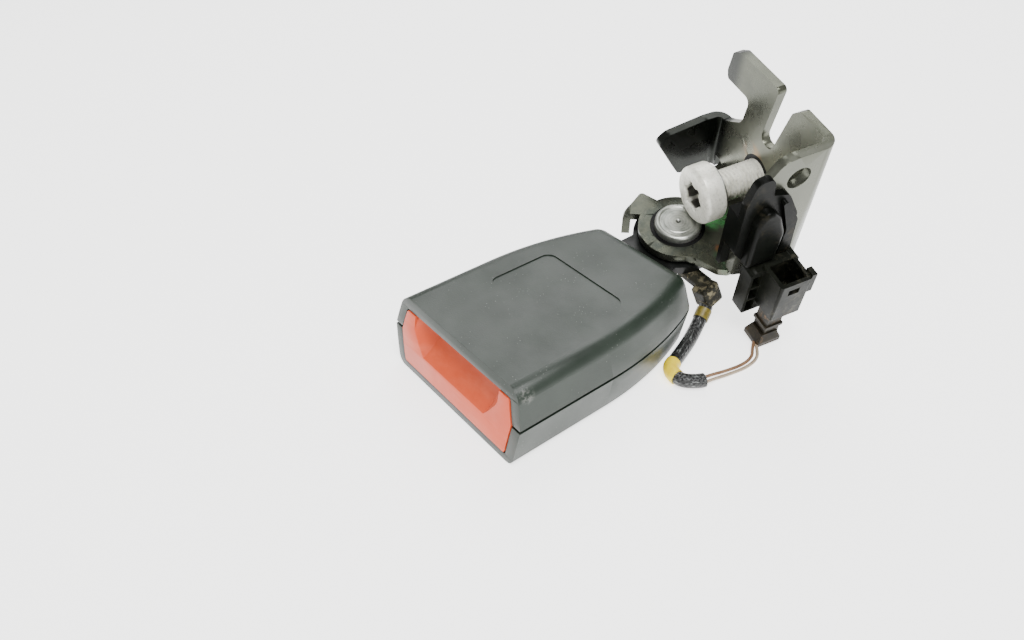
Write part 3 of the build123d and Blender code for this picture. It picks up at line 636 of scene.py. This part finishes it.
sleeve = lay_cord("braided_sleeve", SLEEVE, SLEEVE_DIAMETER * MM, braid, "head")
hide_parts("cable_sleeve")
line_length(SLEEVE)
for node, finish, slot, route in WIRES:
    wire = bend_tube(node + "_skin", route, WIRE_DIAMETER * MM, finish)
    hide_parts(node)


# ------------------------------------------------------------ turned and wound pieces
def turned(profile, place, steps_round=72):
    """Surface of revolution of (radius, height) points about Z, put in place."""
    mesh = bmesh.new()
    line = [mesh.verts.new((r, 0, z)) for r, z in profile]
    edges = [mesh.edges.new(pair) for pair in zip(line, line[1:])]
    bmesh.ops.spin(mesh, geom=line + edges, cent=(0, 0, 0), axis=(0, 0, 1), angle=2 * math.pi,
                   steps=steps_round, use_merge=True)
    bmesh.ops.remove_doubles(mesh, verts=mesh.verts, dist=1e-4)
    bmesh.ops.recalc_face_normals(mesh, faces=mesh.faces)
    bmesh.ops.transform(mesh, matrix=place, verts=mesh.verts)
    return mesh


def swivel_rivet():
    """Rivet head with turned steps and a centre mark; shank and closing head below."""
    centre_mark = [(0, -0.3), (0.3, -0.25), (0.9, 0.1), (1.2, 0.12)]
    turned_face = [(4.3, 0.14), (4.55, 0.0), (4.8, -0.02), (5.6, 0.0), (5.85, 0.16), (6.1, 0.28)]
    rim = [(6.6, 0.28), (6.95, 0.1), (7.15, -0.2), (7.2, -0.5), (7.2, -2.1)]
    shank = [(5.0, -2.1), (5.0, -9.0)]
    closing_head = [(8.0, -9.0), (7.4, -11.0), (0, -11.0)]
    profile = centre_mark + turned_face + rim + shank + closing_head
    piece = keep(turned(profile, STALK), "turned_rivet", rivet_steel, 25)
    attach(piece, "head")
    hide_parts("swivel_rivet")


def bolt_head(place, cut_level):
    """The head of the CAD bolt, stood up the Z axis, cut off below and softly edged."""
    mesh = bmesh.new()
    mesh.from_mesh(nodes["anchor_bolt"].data)
    bmesh.ops.transform(mesh, matrix=place.inverted() @ nodes["anchor_bolt"].matrix_world, verts=mesh.verts)
    bmesh.ops.remove_doubles(mesh, verts=mesh.verts, dist=1e-4)
    bmesh.ops.bisect_plane(mesh, geom=mesh.verts[:] + mesh.edges[:] + mesh.faces[:], dist=1e-4,
                           plane_co=(0, 0, cut_level), plane_no=(0, 0, 1), clear_outer=True)
    bmesh.ops.dissolve_limit(mesh, angle_limit=math.radians(1), verts=mesh.verts, edges=mesh.edges)
    rim = [e for e in mesh.edges if e.is_manifold and e.calc_face_angle(0) > math.radians(30)]
    bmesh.ops.bevel(mesh, geom=rim, offset=0.35, segments=3, profile=0.5, affect="EDGES", material=-1)
    bmesh.ops.recalc_face_normals(mesh, faces=mesh.faces)
    return mesh


def cut_thread(mesh, core, outside, start, pitch, turns):
    """Winds the crest of a thread up the Z axis, from the core's radius to the outside radius."""
    steps_a_turn = 40
    section = [(core, 0), (outside, 0.42), (outside, 0.58), (core, 1)]      # radius, share of the pitch
    crest = [mesh.verts.new((r, 0, start + share * pitch)) for r, share in section]
    edges = [mesh.edges.new(pair) for pair in zip(crest, crest[1:])]
    bmesh.ops.spin(mesh, geom=crest + edges, cent=(0, 0, 0), axis=(0, 0, 1), angle=2 * math.pi * turns,
                   steps=steps_a_turn * turns, dvec=(0, 0, pitch / steps_a_turn))
    bmesh.ops.remove_doubles(mesh, verts=mesh.verts, dist=1e-3)


def anchor_bolt():
    """Bolt head of the CAD node on a threaded shank with a plain pilot; the socket is painted dark as
    shade.
    """
    head_length, pilot_start, tip = 6.4, 25.6, 29.0         # mm behind the head's face
    outside, pitch, depth = 4.95, 1.25, 0.62                # the thread, mm
    pilot_radius, tip_chamfer = 4.0, 0.5
    core = outside - depth
    core_skin = core + 0.02
    place = along_y(*BOLT_FACE)
    mesh = bolt_head(place, head_length + 0.2)
    cut_thread(mesh, core, outside, head_length, pitch, int((pilot_start - 1.6 - head_length) / pitch))
    shank = [(core_skin, head_length - 0.1), (core_skin, pilot_start - 0.9), (pilot_radius, pilot_start),
             (pilot_radius, tip - tip_chamfer), (pilot_radius - tip_chamfer, tip), (0, tip)]
    join(mesh, turned(shank, Matrix.Identity(4), 48))
    bmesh.ops.transform(mesh, matrix=place, verts=mesh.verts)
    piece = keep(mesh, "threaded_bolt", bolt_zinc, 35)
    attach(piece, "bolt")
    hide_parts("anchor_bolt")


def coil(mesh, start, end, radius, wire, turns):
    """Winds a round wire from start to end, in the head's millimetres."""
    length = (end - start).length
    steps_a_turn = 20
    rise = (length - wire) / turns / steps_a_turn
    winding = bmesh.new()
    section = Matrix.Translation((radius - wire / 2, 0, wire / 2)) @ turn(90, "X")
    ring = bmesh.ops.create_circle(winding, segments=8, radius=wire / 2, matrix=section)["verts"]
    bmesh.ops.spin(winding, geom=ring + winding.edges[:], cent=(0, 0, 0), axis=(0, 0, 1),
                   angle=2 * math.pi * turns, steps=turns * steps_a_turn, dvec=(0, 0, rise))
    bmesh.ops.holes_fill(winding, edges=[e for e in winding.edges if e.is_boundary], sides=0)
    bmesh.ops.recalc_face_normals(winding, faces=winding.faces)
    heading = (end - start).to_track_quat("Z", "Y").to_matrix().to_4x4()
    bmesh.ops.transform(winding, matrix=HEAD @ Matrix.Translation(start) @ heading, verts=winding.verts)
    join(mesh, winding)


def spring(node, lines, radius, wire, turns):
    """Springs that stand for a node, each wound from the start to the end of its line."""
    lines = [(Vector(start), Vector(end)) for start, end in lines]
    mesh = bmesh.new()
    for start, end in lines:
        coil(mesh, start, end, radius, wire, turns)
    piece = keep(mesh, node + "_coils", spring_steel)
    start, end = lines[0]
    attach(piece, "head")
    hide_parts(node)
    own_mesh(piece)


def soften(name, width):
    """Rounds the sharp edges of a CAD node a little; the width in millimetres."""
    piece = nodes[name]
    weld = piece.modifiers.new("joined", "WELD")
    weld.merge_threshold = 1e-6
    edge = piece.modifiers.new("edges", "BEVEL")
    edge.width = width * MM
    edge.segments = 2
    edge.limit_method = "ANGLE"
    edge.angle_limit = math.radians(32)
    edge.harden_normals = False


swivel_rivet()
anchor_bolt()
spring("button_springs", [((x, 27.0, 9.5), (x, 40.0, 9.5)) for x in (-19.8, 19.8)],
       radius=2.2, wire=0.8, turns=7)
spring("ejector_spring", [((0, 27.8, 16.6), (0, 51.0, 16.6))],
       radius=2.6, wire=0.8, turns=10)
spring("latch_spring", [((0, 29.5, 8.8), (0, 29.5, 2.0))],
       radius=2.4, wire=0.8, turns=5)
EDGE_WIDTHS = (("anchor_bracket", 0.2), ("connector_holder", 0.25), ("connector_socket", 0.15),
               ("connector_plug", 0.2), ("cable_clip", 0.3), ("upper_cover", 0.9), ("lower_cover", 0.5),
               ("release_button", 0.9))
for name, width in EDGE_WIDTHS:
    soften(name, width)


# ------------------------------------------------------------ floor and light
def lay_floor():
    """A pale floor that glows a little, just below the object."""
    floor_mesh = bpy.data.meshes.new("floor")
    sheet = bmesh.new()
    bmesh.ops.create_grid(sheet, x_segments=1, y_segments=1, size=3)
    sheet.to_mesh(floor_mesh)
    sheet.free()
    floor = show(bpy.data.objects.new("floor", floor_mesh))
    floor.location.z = cad_box[0][2] - 0.02 * MM
    material, _, shader, _ = new_finish("floor")
    shader.inputs["Base Color"].default_value = (0.80, 0.80, 0.795, 1)
    shader.inputs["Roughness"].default_value = 0.8
    shader.inputs["Specular IOR Level"].default_value = 0.1
    shader.inputs["Emission Color"].default_value = (1, 1, 0.995, 1)
    shader.inputs["Emission Strength"].default_value = 2.1
    floor_mesh.materials.append(material)


def light_room():
    """A room that is light low down and dark overhead, with two softboxes turned to the object."""
    world = bpy.data.worlds.new("studio")
    world.use_nodes = True
    tree = world.node_tree
    place = tree.nodes.new("ShaderNodeTexCoord").outputs["Generated"]
    split = tree.nodes.new("ShaderNodeSeparateXYZ")
    tree.links.new(place, split.inputs["Vector"])
    sky = steps(tree, split.outputs["Z"], (0.0, 1.0), (0.35, 0.8), (0.7, 0.45), (1.0, 0.10))
    background = tree.nodes["Background"]
    tree.links.new(sky, background.inputs["Color"])
    background.inputs["Strength"].default_value = 1.0
    bpy.context.scene.world = world
    aim = Vector((0, 0, 0.02))
    back_box = ((-0.45, 0.40, 0.75), 0.6, 6.0)      # place in metres, size in metres, watts
    front_box = ((0.32, -0.20, 0.86), 0.5, 12.0)
    for spot, size, power in (back_box, front_box):
        lamp = bpy.data.lights.new("softbox", "AREA")
        lamp.size = size
        lamp.energy = power
        box = show(bpy.data.objects.new("softbox", lamp))
        box.location = spot
        box.rotation_euler = (aim - Vector(spot)).to_track_quat("-Z", "Y").to_euler()


lay_floor()
light_room()
